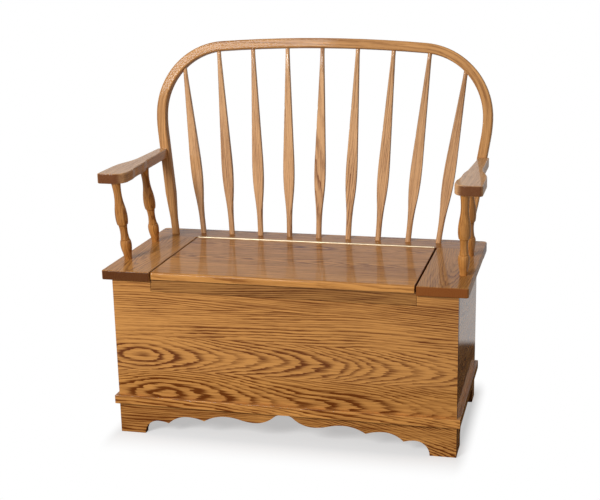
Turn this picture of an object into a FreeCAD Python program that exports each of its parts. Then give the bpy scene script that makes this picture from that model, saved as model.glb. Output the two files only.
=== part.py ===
import FreeCAD, Part
import math
import os

import Sketcher
from FreeCAD import Vector

# Deacon's bench: a scalloped storage chest whose seat lid is hinged at the back, with a bent
# bow back, nine feather spindles, and two shaped arms on turned posts.
# +X runs from left to right as seen from the front, +Y runs to the back, +Z is up.
# The origin lies on the floor under the middle of the whole bench.

os.makedirs("parts", exist_ok=True)
doc = FreeCAD.newDocument("deacons_bench")

# Driving dimensions, in millimetres and degrees
SIZES = [
    # chest
    ("chest_width", 914.4), ("chest_depth", 440), ("chest_height", 431.8), ("panel", 19),
    ("foot_length", 69), ("foot_arch_run", 38.2), ("foot_arch_height", 38.5),
    ("cusp_one_run", 30), ("cusp_one_height", 33.5),
    ("arch_two_run", 53), ("arch_two_height", 55.5),
    ("cusp_two_run", 47), ("cusp_two_height", 47),
    ("arch_three_run", 60), ("arch_three_height", 64.5),
    ("valley_run", 72), ("valley_height", 53), ("valley_radius", 80),
    ("peak_half_width", 8), ("peak_height", 81),
    ("side_front_foot", 82), ("side_back_foot", 58), ("apron_corner_radius", 26),
    ("side_apron_height", 50), ("side_arch_height", 70), ("side_arch_run", 66),
    ("back_foot", 75), ("back_apron_height", 60),
    ("moulding_bottom", 84), ("moulding_height", 24), ("moulding_projection", 9.5),
    ("moulding_easing", 1.5),
    ("floor_board", 12), ("floor_rise", 108), ("cleat", 19), ("corner_block", 38),
    # seat and lid
    ("seat_board", 25.4), ("front_overhang", 10), ("side_overhang", 25.3),
    ("rear_overhang", 30), ("end_board_width", 131), ("rail_width", 96.5),
    ("rail_corner_radius", 13), ("end_corner_radius", 6), ("seat_nose_radius", 3),
    ("lid_board", 19), ("lid_side_gap", 4.5), ("lid_setback", 2), ("lid_nose_radius", 6),
    ("lid_edge_radius", 1.5), ("lid_cleat_height", 34), ("lid_cleat_gap", 1),
    ("batten", 19), ("batten_width", 38), ("batten_length", 270), ("batten_spacing", 400),
    ("batten_setback", 60), ("bearer_width", 38), ("bearer_height", 19),
    ("lid_rest_width", 14),
    # hinge
    ("hinge_end_gap", 2), ("knuckle_diameter", 5), ("leaf", 1), ("leaf_height", 14),
    ("pin_diameter", 2.6), ("pin_clearance", 0.05), ("knuckle_gap", 0.3), ("hinge_rise", 0.6),
    ("knuckle_count", 15),
    # bow
    ("back_lean", 11), ("bow_inset", 60), ("bow_overhang", 7.5), ("bow_rise", 571),
    ("bow_section", 27), ("bow_easing", 4), ("bow_crown_radius", 4000),
    ("bow_shoulder_radius", 208), ("bow_hip_radius", 360), ("leg_splay", 8.6),
    ("taper_start", 118), ("taper_end", 45), ("bow_foot_diameter", 22),
    ("bow_foot_easing", 10.8), ("bow_tenon", 21),
    # spindles
    ("spindle_inset", 39), ("spindle_foot_end_gap", 79), ("spindle_top_end_gap", 64.5),
    ("spindle_foot_diameter", 16), ("spindle_top_diameter", 12), ("spindle_tenon", 20),
    ("spindle_swell_diameter", 33.5), ("spindle_swell_height", 188),
    ("spindle_thickness", 14), ("spindle_foot_straight", 30), ("spindle_top_straight", 30),
    ("spindle_flat_start", 88), ("spindle_shoulder_rise", 56),
    ("spindle_shoulder_diameter", 31),
    # arms
    ("arm_rise", 244.8), ("arm_board", 27), ("arm_easing", 3), ("arm_setback", 61),
    ("arm_overhang", 23.5), ("arm_width", 74), ("arm_corner_radius", 9),
    ("arm_inner_radius", 35), ("arm_rear_width", 28), ("arm_rear_offset", 8),
    ("arm_waist_offset", 11), ("arm_curve_start", 160), ("arm_curve_end", 300),
    ("arm_inner_start", 130), ("arm_inner_end", 270), ("arm_dowel_diameter", 9),
    ("arm_dowel_depth", 13),
    # arm posts, whose turned profile is measured up from the seat and down from the arm
    ("front_post_foot_inset", 27), ("front_post_foot_setback", 122),
    ("front_post_top_inset", 45.5), ("front_post_top_setback", 80),
    ("rear_post_foot_inset", 31), ("rear_post_foot_setback", 316),
    ("rear_post_top_inset", 53), ("rear_post_top_setback", 263),
    ("post_foot_diameter", 20.6), ("post_tenon_diameter", 15), ("post_tenon", 17),
    ("post_housing", 3.2), ("post_low_vase_diameter", 30.5), ("post_low_vase_height", 45),
    ("post_low_ring_height", 57), ("post_low_ring_diameter", 26),
    ("post_groove_width", 3), ("post_groove_diameter", 20), ("post_cove_diameter", 23.8),
    ("post_cove_radius", 124), ("post_high_ring_drop", 118), ("post_high_ring_diameter", 29),
    ("post_vase_drop", 99), ("post_vase_diameter", 33), ("post_neck_drop", 32),
    ("post_neck_diameter", 20.6), ("post_top_diameter", 26),
]
sizes = doc.addObject("Spreadsheet::Sheet", "Sizes")
for row, (alias, size) in enumerate(SIZES, 1):
    sizes.set("A%d" % row, alias)
    sizes.set("B%d" % row, str(size))
    sizes.setAlias("B%d" % row, alias)

# Lines and planes worked out from the driving dimensions
WORKED_OUT = [
    ("bow_reach", "Sizes.front_overhang + Sizes.chest_depth + Sizes.rear_overhang"
                  " - Sizes.bow_inset + (Sizes.bow_rise - Sizes.bow_easing)"
                  " * sin(Sizes.back_lean) + (Sizes.bow_section / 2 - Sizes.bow_easing)"
                  " * cos(Sizes.back_lean) + Sizes.bow_easing"),
    ("seat_front", "-Layout.bow_reach / 2"),
    ("seat_back", "Layout.seat_front + Sizes.front_overhang + Sizes.chest_depth"
                  " + Sizes.rear_overhang"),
    ("seat_half", "Sizes.chest_width / 2 + Sizes.side_overhang"),
    ("seat_top", "Sizes.chest_height + Sizes.seat_board"),
    ("chest_front", "Layout.seat_front + Sizes.front_overhang"),
    ("chest_back", "Layout.chest_front + Sizes.chest_depth"),
    ("chest_half", "Sizes.chest_width / 2"),
    ("inner_half", "Layout.chest_half - Sizes.panel"),
    ("inner_front", "Layout.chest_front + Sizes.panel"),
    ("inner_back", "Layout.chest_back - Sizes.panel"),
    ("foot_inner", "Layout.chest_half - Sizes.foot_length"),
    ("foot_arch_u", "Layout.foot_inner - Sizes.foot_arch_run"),
    ("cusp_one_u", "Layout.foot_arch_u - Sizes.cusp_one_run"),
    ("arch_two_u", "Layout.cusp_one_u - Sizes.arch_two_run"),
    ("cusp_two_u", "Layout.arch_two_u - Sizes.cusp_two_run"),
    ("arch_three_u", "Layout.cusp_two_u - Sizes.arch_three_run"),
    ("valley_u", "Sizes.peak_half_width + Sizes.valley_run"),
    ("end_board_inner", "Layout.seat_half - Sizes.end_board_width"),
    ("lid_half", "Layout.end_board_inner - Sizes.lid_side_gap"),
    ("rail_front", "Layout.seat_back - Sizes.rail_width"),
    ("hinge_y", "Layout.rail_front - Sizes.knuckle_diameter / 2"),
    ("hinge_z", "Layout.seat_top + Sizes.hinge_rise"),
    ("hinge_length", "2 * (Layout.lid_half - Sizes.hinge_end_gap)"),
    ("lid_back", "Layout.hinge_y - Sizes.knuckle_diameter / 2"),
    ("lid_front", "Layout.seat_front + Sizes.lid_setback"),
    ("lid_underside", "Layout.seat_top - Sizes.lid_board"),
    ("lid_cleat_half", "Layout.end_board_inner - Sizes.lid_cleat_gap"),
    ("notch_height", "Layout.lid_underside - Sizes.lid_cleat_height - Sizes.lid_cleat_gap"),
    ("knuckle_pitch", "Layout.hinge_length / Sizes.knuckle_count"),
    ("bow_y", "Layout.seat_back - Sizes.bow_inset"),
    ("bow_half", "Layout.seat_half + Sizes.bow_overhang"),
    ("shoulder_u", "Layout.bow_half - Sizes.bow_shoulder_radius"),
    ("shoulder_v", "Sizes.bow_rise - Sizes.bow_crown_radius"
                   " + sqrt((Sizes.bow_crown_radius - Sizes.bow_shoulder_radius)^2"
                   " - Layout.shoulder_u^2)"),
    ("crown_radius", "Sizes.bow_crown_radius - Sizes.bow_section / 2"),
    ("crown_v", "Sizes.bow_rise - Sizes.bow_crown_radius"),
    ("shoulder_radius", "Sizes.bow_shoulder_radius - Sizes.bow_section / 2"),
    ("hip_u", "Layout.bow_half - Sizes.bow_hip_radius"),
    ("hip_radius", "Sizes.bow_hip_radius - Sizes.bow_section / 2"),
    ("crown_end_u", "Layout.crown_radius * Layout.shoulder_u"
                    " / (Sizes.bow_crown_radius - Sizes.bow_shoulder_radius)"),
    ("crown_end_v", "Layout.crown_v + sqrt(Layout.crown_radius^2 - Layout.crown_end_u^2)"),
    ("bow_side_u", "Layout.bow_half - Sizes.bow_section / 2"),
    ("hip_end_u", "Layout.hip_u + Layout.hip_radius * cos(Sizes.leg_splay)"),
    ("hip_end_v", "Layout.shoulder_v - Layout.hip_radius * sin(Sizes.leg_splay)"),
    ("bow_foot_u", "Layout.hip_end_u - Layout.hip_end_v * tan(Sizes.leg_splay)"),
    ("bow_foot_corner", "min(Sizes.bow_foot_easing; 0.495 * Sizes.bow_foot_diameter)"),
    ("spindle_y", "Layout.seat_back - Sizes.spindle_inset"),
    ("arm_top", "Layout.seat_top + Sizes.arm_rise"),
    ("arm_underside", "Layout.arm_top - Sizes.arm_board"),
    ("arm_middle", "Layout.arm_top - Sizes.arm_board / 2"),
    ("arm_leg_u", "Layout.bow_foot_u + (Layout.arm_middle - Layout.seat_top)"
                  " / cos(Sizes.back_lean) * tan(Sizes.leg_splay)"),
    ("arm_outer", "Layout.seat_half + Sizes.arm_overhang"),
    ("arm_inner", "Layout.arm_outer - Sizes.arm_width"),
    ("arm_rear_outer", "Layout.arm_leg_u + Sizes.arm_rear_offset + Sizes.arm_rear_width / 2"),
    ("arm_rear_inner", "Layout.arm_rear_outer - Sizes.arm_rear_width"),
    ("arm_waist_inner", "Layout.arm_rear_inner - Sizes.arm_waist_offset"),
    ("arm_front", "Layout.seat_front + Sizes.arm_setback"),
    ("bow_face_y", "Layout.bow_y + (Layout.arm_middle - Layout.seat_top)"
                   " * tan(Sizes.back_lean) - Sizes.bow_section / 2 / cos(Sizes.back_lean)"),
    ("arm_back", "Layout.bow_face_y + Sizes.bow_section"),
    ("arm_dowel_u", "(Layout.arm_leg_u + Layout.arm_rear_inner + Sizes.bow_section / 2) / 2"),
]


def line_between(name, foot, top):
    """Work out the tilt and length of a line from a foot point to a top point."""
    dx, dy, dz = ["((%s) - (%s))" % (b, a) for a, b in zip(foot, top)]
    WORKED_OUT.append((name + "_pitch", "atan(%s / %s) / 1 deg" % (dx, dz)))
    WORKED_OUT.append((name + "_roll",
                       "-atan(%s / sqrt(%s^2 + %s^2)) / 1 deg" % (dy, dx, dz)))
    WORKED_OUT.append((name + "_length", "sqrt(%s^2 + %s^2 + %s^2)" % (dx, dy, dz)))
    frame = tuple(foot) + ("Layout.%s_pitch" % name, "Layout.%s_roll" % name)
    return frame, "Layout.%s_length" % name


# Centre lines of the posts, the spindles and the bow's legs, each from the seat upwards
SIDES = (("left", "-"), ("right", ""))
POSTS = [(where, side, sign) for where in ("front", "rear") for side, sign in SIDES]
SPINDLES = 9
post_lines = {}
for where, side, sign in POSTS:
    post_lines[where, side] = line_between(
        "post_%s_%s" % (where, side),
        ("%s(Layout.seat_half - Sizes.%s_post_foot_inset)" % (sign, where),
         "(Layout.seat_front + Sizes.%s_post_foot_setback)" % where, "Layout.seat_top"),
        ("%s(Layout.arm_outer - Sizes.%s_post_top_inset)" % (sign, where),
         "(Layout.seat_front + Sizes.%s_post_top_setback)" % where, "Layout.arm_underside"))
half_row = (SPINDLES - 1) // 2
WORKED_OUT += [
    ("foot_pitch", "(Layout.bow_foot_u - Sizes.spindle_foot_end_gap) / %d" % half_row),
    ("top_pitch", "(Layout.bow_side_u - Sizes.spindle_top_end_gap) / %d" % half_row)]
spindle_lines = []
for i in range(SPINDLES):
    name = "spindle_%d" % (i + 1)
    top_u = "(%d * Layout.top_pitch)" % (i - half_row)
    WORKED_OUT.append((name + "_top_v", (
        "abs%s > Layout.crown_end_u ? Layout.shoulder_v + sqrt(max(0;"
        " Layout.shoulder_radius^2 - (abs%s - Layout.shoulder_u)^2))"
        " : Layout.crown_v + sqrt(Layout.crown_radius^2 - %s^2)") % (top_u, top_u, top_u)))
    top_v = "Layout.%s_top_v" % name
    spindle_lines.append(line_between(
        name, ("(%d * Layout.foot_pitch)" % (i - half_row), "Layout.spindle_y",
               "Layout.seat_top"),
        (top_u, "Layout.bow_y + %s * sin(Sizes.back_lean)" % top_v,
         "Layout.seat_top + %s * cos(Sizes.back_lean)" % top_v)))
leg_lines = [line_between(
    "bow_leg_" + side,
    ("%sLayout.bow_foot_u" % sign, "Layout.bow_y", "Layout.seat_top"),
    ("%sLayout.hip_end_u" % sign, "Layout.bow_y + Layout.hip_end_v * sin(Sizes.back_lean)",
     "Layout.seat_top + Layout.hip_end_v * cos(Sizes.back_lean)")) for side, sign in SIDES]

layout = doc.addObject("Spreadsheet::Sheet", "Layout")
for row, (alias, formula) in enumerate(WORKED_OUT, 1):
    layout.set("A%d" % row, alias)
    layout.set("B%d" % row, "=" + formula.replace("Layout.", ""))
    layout.setAlias("B%d" % row, alias)
doc.recompute()


def number(formula):
    """The present value of a formula written with the names of the two sheets."""
    return float(sizes.evalExpression(str(formula)))


def placement(x="0", y="0", z="0", yaw="0", pitch="0", roll="0"):
    """A placement formula: a position, then turns about Z, Y and X."""
    return ("create(<<placement>>; create(<<vector>>; %s; %s; %s);"
            " create(<<rotation>>; %s; %s; %s))" % (x, y, z, yaw, pitch, roll))


def place(piece, **position):
    piece.setExpression("Placement", placement(**position))


def new_body(label):
    body = doc.addObject("PartDesign::Body", "Body_" + label)
    body.Label = label
    return body


def origin_plane(body, role):
    return [item for item in body.Origin.OriginFeatures if item.Role == role][0]


def new_sketch(body, name, role, offset=None):
    sketch = body.newObject("Sketcher::SketchObject", body.Label + "_" + name)
    sketch.AttachmentSupport = [(origin_plane(body, role), "")]
    sketch.MapMode = "FlatFace"
    if offset:
        sketch.setExpression("AttachmentOffset", offset)
    return sketch


def tie(sketch, ties):
    """Add dimensions to a sketch and bind each to its formula.
    Each is (kind, geometry, point, name, formula)."""
    made = []
    for kind, geometry, point, _, formula in ties:
        where = (geometry,) if kind == "Radius" else (geometry, point)
        made.append(Sketcher.Constraint(kind, *where, number(formula)))
    first = sketch.ConstraintCount
    sketch.addConstraint(made)
    for i, (_, _, _, name, formula) in enumerate(ties, first):
        sketch.renameConstraint(i, name)
        sketch.setExpression("Constraints." + name, str(formula))


def draw(sketch, path, closed=True, tag="p"):
    """Draw a path of corners. A corner is (x, y) where a line arrives, or (x, y, radius, turn)
    where an arc arrives, turning left for +1 and right for -1. Every corner is dimensioned."""
    first = sketch.GeometryCount
    points = [Vector(number(corner[0]), number(corner[1]), 0) for corner in path]
    count = len(path) if closed else len(path) - 1
    pieces_drawn = []
    starts = []
    for i in range(count):
        j = (i + 1) % len(path)
        a, b, corner = points[i], points[j], path[j]
        if len(corner) == 2:
            pieces_drawn.append(Part.LineSegment(a, b))
            starts.append(1)
            continue
        radius, turn = number(corner[2]), corner[3]
        chord = b - a
        left = Vector(-chord.y, chord.x, 0).normalize()
        depth = math.sqrt(max(radius ** 2 - chord.Length ** 2 / 4, 0))
        middle = (a + b) / 2 - left * turn * (radius - depth)
        pieces_drawn.append(Part.Arc(a, middle, b) if turn > 0 else Part.Arc(b, middle, a))
        starts.append(1 if turn > 0 else 2)
    sketch.addGeometry(pieces_drawn, False)
    joins = count if closed else count - 1
    sketch.addConstraint([
        Sketcher.Constraint("Coincident", first + i, 3 - starts[i],
                            first + (i + 1) % count, starts[(i + 1) % count])
        for i in range(joins)])
    ties = []
    for i, corner in enumerate(path):
        line, point = (i, starts[i]) if i < count else (i - 1, 3 - starts[i - 1])
        ties.append(("DistanceX", first + line, point, "%s_x%d" % (tag, i), corner[0]))
        ties.append(("DistanceY", first + line, point, "%s_y%d" % (tag, i), corner[1]))
        if len(corner) == 4:
            ties.append(("Radius", first + (i - 1) % len(path), 0, "%s_r%d" % (tag, i),
                         corner[2]))
    tie(sketch, ties)


def draw_circle(sketch, x, y, radius, tag="c"):
    index = sketch.addGeometry(Part.Circle(Vector(number(x), number(y), 0), Vector(0, 0, 1),
                                           number(radius)))
    tie(sketch, [("DistanceX", index, 3, tag + "_x", x), ("DistanceY", index, 3, tag + "_y", y),
                 ("Radius", index, 0, tag + "_r", radius)])


def mirrored(path):
    """The same path seen in a mirror at x = 0 and run the other way."""
    flipped = []
    for i in reversed(range(len(path))):
        arrival = path[(i + 1) % len(path)][2:]
        flipped.append(("-(%s)" % path[i][0], path[i][1]) + tuple(arrival))
    return flipped


def rectangle(x_low, x_high, y_low, y_high):
    return [(x_low, y_low), (x_high, y_low), (x_high, y_high), (x_low, y_high)]


def level_arc(run, rise):
    """Radius of an arc that is level at one end and climbs `rise` over `run`."""
    return "((%s)^2 + (%s)^2) / (2 * abs(%s))" % (run, rise, rise)


def reverse_arc(run, rise):
    """Radius of each half of a reverse curve that is level at both ends."""
    return "((%s)^2 + (%s)^2) / (4 * abs(%s))" % (run, rise, rise)


def pad(body, sketch, length, reverse=False, both=False):
    feature = body.newObject("PartDesign::Pad", sketch.Name + "_pad")
    feature.Profile = sketch
    feature.setExpression("Length", length)
    feature.Reversed = reverse
    feature.Midplane = both
    return feature


def board(label, outline, role, thickness, reverse=False):
    """A flat board: one outline on a plane of its own body, padded to a thickness."""
    body = new_body(label)
    sketch = new_sketch(body, "outline", role)
    draw(sketch, outline)
    pad(body, sketch, thickness, reverse)
    return body


def ease(body, test, radius):
    """Round the edges of a body's last feature whose middles pass a test."""
    doc.recompute()
    base = body.Tip
    names = []
    for i, edge in enumerate(base.Shape.Edges, 1):
        middle = edge.valueAt((edge.FirstParameter + edge.LastParameter) / 2)
        if test(edge, middle):
            names.append("Edge%d" % i)
    fillet = body.newObject("PartDesign::Fillet", body.Label + "_easing_%d" % len(body.Group))
    fillet.Base = (base, names)
    fillet.setExpression("Radius", radius)


def turn_on_axis(body, profile):
    """Revolve a profile about the body's Z axis."""
    turned = body.newObject("PartDesign::Revolution", body.Label + "_turned")
    turned.Profile = profile
    turned.ReferenceAxis = (profile, ["V_Axis"])
    turned.Angle = 360


def drill(label, blank, tools):
    """Cut tools out of a blank; the result takes the piece's name."""
    blank.Label = label + "_blank"
    group = doc.addObject("Part::MultiFuse", label + "_holes")
    group.Shapes = tools
    cut = doc.addObject("Part::Cut", label)
    cut.Base = blank
    cut.Tool = group
    cut.Label = label
    return cut


def rod(label, radius, start, end, frame):
    """A round tool on the Z axis of a frame, from one height to another along it."""
    tool = doc.addObject("Part::Cylinder", label)
    tool.setExpression("Radius", radius)
    tool.setExpression("Height", "(%s) - (%s)" % (end, start))
    x, y, z, pitch, roll = frame
    along = "(%s)" % start
    place(tool, x="%s + %s * sin(%s) * cos(%s)" % (x, along, pitch, roll),
          y="%s - %s * sin(%s)" % (y, along, roll),
          z="%s + %s * cos(%s) * cos(%s)" % (z, along, pitch, roll), pitch=pitch, roll=roll)
    return tool


pieces = []

# Chest front: one wide board, scalloped between its two feet and notched for the lid's cleat
u = {name: "Layout.%s_u" % name
     for name in ("foot_arch", "cusp_one", "arch_two", "cusp_two", "arch_three", "valley")}
v = {name: "Sizes.%s_height" % name for name in u}


def arch(name, other):
    """An arc arriving at a named point from or to a level end at either of the two."""
    return (u[name], v[name], level_arc("%s - %s" % (u[name], u[other]),
                                        "%s - %s" % (v[name], v[other])), 1)


swell_run = "(%s - %s)" % (u["arch_three"], u["valley"])
swell_rise = "(%s - %s)" % (v["arch_three"], v["valley"])
swell = reverse_arc(swell_run, swell_rise)
peak_rise = "(Sizes.peak_height - Sizes.valley_height)"
peak_reach = level_arc("Sizes.valley_run", peak_rise)
scallop = [
    ("Layout.foot_inner", "0"),
    (u["foot_arch"], v["foot_arch"], level_arc("Sizes.foot_arch_run", v["foot_arch"]), 1),
    arch("cusp_one", "foot_arch"), arch("arch_two", "cusp_one"), arch("cusp_two", "arch_two"),
    arch("arch_three", "cusp_two"),
    ("(%s + %s) / 2" % (u["arch_three"], u["valley"]),
     "(%s + %s) / 2" % (v["arch_three"], v["valley"]), swell, 1),
    (u["valley"], v["valley"], swell, -1),
    ("%s - Sizes.valley_radius / (%s) * Sizes.valley_run" % (u["valley"], peak_reach),
     "%s + Sizes.valley_radius * %s / (%s)" % (v["valley"], peak_rise, peak_reach),
     "Sizes.valley_radius", -1),
    ("Sizes.peak_half_width", "Sizes.peak_height", "(%s) - Sizes.valley_radius" % peak_reach, 1)]
notch = "Layout.end_board_inner"
front_outline = [("Layout.chest_half", "0")] + scallop + mirrored(scallop) + [
    ("-Layout.chest_half", "0"), ("-Layout.chest_half", "Sizes.chest_height"),
    ("-" + notch, "Sizes.chest_height"), ("-" + notch, "Layout.notch_height"),
    (notch, "Layout.notch_height"), (notch, "Sizes.chest_height"),
    ("Layout.chest_half", "Sizes.chest_height")]
front_panel = board("front_panel", front_outline, "XZ_Plane", "Sizes.panel", reverse=True)
place(front_panel, y="Layout.chest_front")
pieces.append(front_panel)

# Chest sides: each stands behind the front board and is cut away between a front and a back foot
corner = "Sizes.apron_corner_radius"
rear_foot = "(Layout.chest_back - Sizes.side_back_foot)"
front_foot = "(Layout.chest_front + Sizes.side_front_foot)"
rear_turn = "(%s - %s)" % (rear_foot, corner)
front_turn = "(%s + %s)" % (front_foot, corner)
low, high = "Sizes.side_apron_height", "Sizes.side_arch_height"
side_swell = reverse_arc("Sizes.side_arch_run", "%s - %s" % (high, low))
middle_height = "(%s + %s) / 2" % (high, low)
side_outline = [
    ("Layout.chest_back", "0"), (rear_foot, "0"), (rear_foot, "%s - %s" % (low, corner)),
    (rear_turn, low, corner, 1),
    ("%s - Sizes.side_arch_run / 2" % rear_turn, middle_height, side_swell, -1),
    ("%s - Sizes.side_arch_run" % rear_turn, high, side_swell, 1),
    ("%s + Sizes.side_arch_run" % front_turn, high),
    ("%s + Sizes.side_arch_run / 2" % front_turn, middle_height, side_swell, 1),
    (front_turn, low, side_swell, -1),
    (front_foot, "%s - %s" % (low, corner), corner, 1),
    (front_foot, "0"), ("Layout.inner_front", "0"),
    ("Layout.inner_front", "Sizes.chest_height"), ("Layout.chest_back", "Sizes.chest_height")]
for side, start in (("left", "-Layout.chest_half"), ("right", "Layout.inner_half")):
    panel = board("side_panel_" + side, side_outline, "YZ_Plane", "Sizes.panel")
    place(panel, x=start)
    pieces.append(panel)

# Chest back: a plain board between the sides, with its own two feet
back_foot = "(Layout.chest_half - Sizes.back_foot)"
back_half = [
    (back_foot, "0"), (back_foot, "Sizes.back_apron_height - %s" % corner),
    ("%s - %s" % (back_foot, corner), "Sizes.back_apron_height", corner, 1)]
back_outline = [("Layout.inner_half", "0")] + back_half + mirrored(back_half) + [
    ("-Layout.inner_half", "0"), ("-Layout.inner_half", "Sizes.chest_height"),
    ("Layout.inner_half", "Sizes.chest_height")]
back_panel = board("back_panel", back_outline, "XZ_Plane", "Sizes.panel", reverse=True)
place(back_panel, y="Layout.inner_back")
pieces.append(back_panel)

# Chest floor on four cleats, and a glue block behind each front foot
floor_panel = board("floor_panel",
                    rectangle("-Layout.inner_half", "Layout.inner_half",
                              "Layout.inner_front", "Layout.inner_back"),
                    "XY_Plane", "Sizes.floor_board")
place(floor_panel, z="Sizes.floor_rise")
pieces.append(floor_panel)
front_cleat_back = "Layout.inner_front + Sizes.cleat"
back_cleat_front = "Layout.inner_back - Sizes.cleat"
cleats = [
    ("floor_cleat_front", "-Layout.inner_half", "Layout.inner_half",
     "Layout.inner_front", front_cleat_back),
    ("floor_cleat_back", "-Layout.inner_half", "Layout.inner_half",
     back_cleat_front, "Layout.inner_back"),
    ("floor_cleat_left", "-Layout.inner_half", "-Layout.inner_half + Sizes.cleat",
     front_cleat_back, back_cleat_front),
    ("floor_cleat_right", "Layout.inner_half - Sizes.cleat", "Layout.inner_half",
     front_cleat_back, back_cleat_front)]
for label, x_low, x_high, y_low, y_high in cleats:
    strip = board(label, rectangle(x_low, x_high, y_low, y_high), "XY_Plane", "Sizes.cleat")
    place(strip, z="Sizes.floor_rise - Sizes.cleat")
    pieces.append(strip)
for side, sign in SIDES:
    outer = sign + "Layout.inner_half"
    inward = "%s(Layout.inner_half - Sizes.corner_block)" % sign
    block = board("corner_block_" + side,
                  [(outer, "Layout.inner_front"), (inward, "Layout.inner_front"),
                   (outer, "Layout.inner_front + Sizes.corner_block")],
                  "XY_Plane", "Sizes.floor_rise - Sizes.cleat")
    pieces.append(block)

# Base moulding: a flat strip round the front and both sides, mitred at the front corners
outer_x = "(Layout.chest_half + Sizes.moulding_projection)"
outer_y = "(Layout.chest_front - Sizes.moulding_projection)"
front_strip = [("-" + outer_x, outer_y), (outer_x, outer_y),
               ("Layout.chest_half", "Layout.chest_front"),
               ("-Layout.chest_half", "Layout.chest_front")]
side_strip = [(outer_x, outer_y), (outer_x, "Layout.chest_back"),
              ("Layout.chest_half", "Layout.chest_back"),
              ("Layout.chest_half", "Layout.chest_front")]


def moulding_arris(edge, middle):
    """The long level edges on the outward face of a moulding strip."""
    outward = (abs(middle.x) > number("Layout.chest_half") + 1
               or middle.y < number("Layout.chest_front") - 1)
    across = min(edge.BoundBox.XLength, edge.BoundBox.YLength)
    return outward and edge.BoundBox.ZLength < 0.1 and across < 0.1 and edge.Length > 100


for label, strip in (("moulding_front", front_strip), ("moulding_left", mirrored(side_strip)),
                     ("moulding_right", side_strip)):
    moulding = board(label, strip, "XY_Plane", "Sizes.moulding_height")
    ease(moulding, moulding_arris, "Sizes.moulding_easing")
    place(moulding, z="Sizes.moulding_bottom")
    pieces.append(moulding)

# Seat bearers under the inner edges of the end boards, each topped by a strip the lid rests on
for side, sign in SIDES:
    inner = "%s(Layout.end_board_inner - Sizes.bearer_width / 2)" % sign
    outer = "%s(Layout.end_board_inner + Sizes.bearer_width / 2)" % sign
    bearer = board("seat_bearer_" + side,
                   rectangle(inner, outer, "Layout.inner_front", "Layout.inner_back"),
                   "XY_Plane", "Sizes.bearer_height")
    place(bearer, z="Sizes.chest_height - Sizes.bearer_height")
    rest_inner = "%s(Layout.lid_half - Sizes.lid_rest_width)" % sign
    rest = board("lid_rest_" + side,
                 rectangle(rest_inner, sign + "Layout.lid_half", "Layout.inner_front",
                           "Layout.lid_back"),
                 "XY_Plane", "Sizes.seat_board - Sizes.lid_board")
    place(rest, z="Sizes.chest_height")
    pieces += [bearer, rest]


# Seat end boards, grain front to back, with the mortises of the arm posts
def on_top(edge, middle):
    return edge.BoundBox.ZLength < 0.1 and middle.z > number("Sizes.seat_board") - 0.1


def end_board_edges(edge, middle):
    """The top edges less the one that butts against the rail, and the lower front edge."""
    free = middle.y < number("Layout.rail_front") - 0.1
    front = (edge.BoundBox.ZLength < 0.1
             and middle.y < number("Layout.seat_front + Sizes.end_corner_radius"))
    return (on_top(edge, middle) and free) or front


def post_holes(label, lines, at_foot):
    """The housing and the tenon hole of each post, at its foot or at its top."""
    tools = []
    for i, (frame, length) in enumerate(lines):
        if at_foot:
            spans = [("tenon", "-Sizes.post_tenon", "0"),
                     ("foot", "-Sizes.post_housing", "Sizes.post_foot_diameter")]
        else:
            spans = [("tenon", length, "%s + Sizes.post_tenon" % length),
                     ("top", "%s - Sizes.post_top_diameter" % length,
                      "%s + Sizes.post_housing" % length)]
        for name, start, end in spans:
            tools.append(rod("%s_%s_hole_%d" % (label, name, i),
                             "Sizes.post_%s_diameter / 2" % name, start, end, frame))
    return tools


front = "Layout.seat_front"
rounding = "Sizes.end_corner_radius"
end_outline = [
    ("Layout.end_board_inner", front), ("Layout.seat_half - " + rounding, front),
    ("Layout.seat_half", "%s + %s" % (front, rounding), rounding, 1),
    ("Layout.seat_half", "Layout.rail_front"), ("Layout.end_board_inner", "Layout.rail_front")]
for side, outline in (("left", mirrored(end_outline)), ("right", end_outline)):
    blank = board("seat_end_" + side, outline, "XY_Plane", "Sizes.seat_board")
    ease(blank, end_board_edges, "Sizes.seat_nose_radius")
    place(blank, z="Sizes.chest_height")
    pair = [post_lines[where, side] for where in ("front", "rear")]
    pieces.append(drill("seat_end_" + side, blank, post_holes("seat_end_" + side, pair, True)))

# Rear rail, grain side to side, with rounded rear corners; it takes the bow and the spindles
rounding = "Sizes.rail_corner_radius"
rail_outline = [
    ("-Layout.seat_half", "Layout.rail_front"), ("Layout.seat_half", "Layout.rail_front"),
    ("Layout.seat_half", "Layout.seat_back - " + rounding),
    ("Layout.seat_half - " + rounding, "Layout.seat_back", rounding, 1),
    ("-(Layout.seat_half - %s)" % rounding, "Layout.seat_back"),
    ("-Layout.seat_half", "Layout.seat_back - " + rounding, rounding, 1)]
rail_blank = board("rear_rail", rail_outline, "XY_Plane", "Sizes.seat_board")
ease(rail_blank, lambda edge, middle: on_top(edge, middle)
     and middle.y > number("Layout.rail_front") + 0.1, "Sizes.seat_nose_radius")
place(rail_blank, z="Sizes.chest_height")
rail_tools = [rod("rail_spindle_hole_%d" % (i + 1), "Sizes.spindle_foot_diameter / 2",
                  "-Sizes.spindle_tenon", "Sizes.spindle_tenon", frame)
              for i, (frame, _) in enumerate(spindle_lines)]
rail_tools += [rod("rail_bow_hole_%d" % (i + 1), "Sizes.bow_foot_diameter / 2",
                   "-Sizes.bow_tenon", "Sizes.bow_tenon", frame)
               for i, (frame, _) in enumerate(leg_lines)]
pieces.append(drill("rear_rail", rail_blank, rail_tools))

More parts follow.
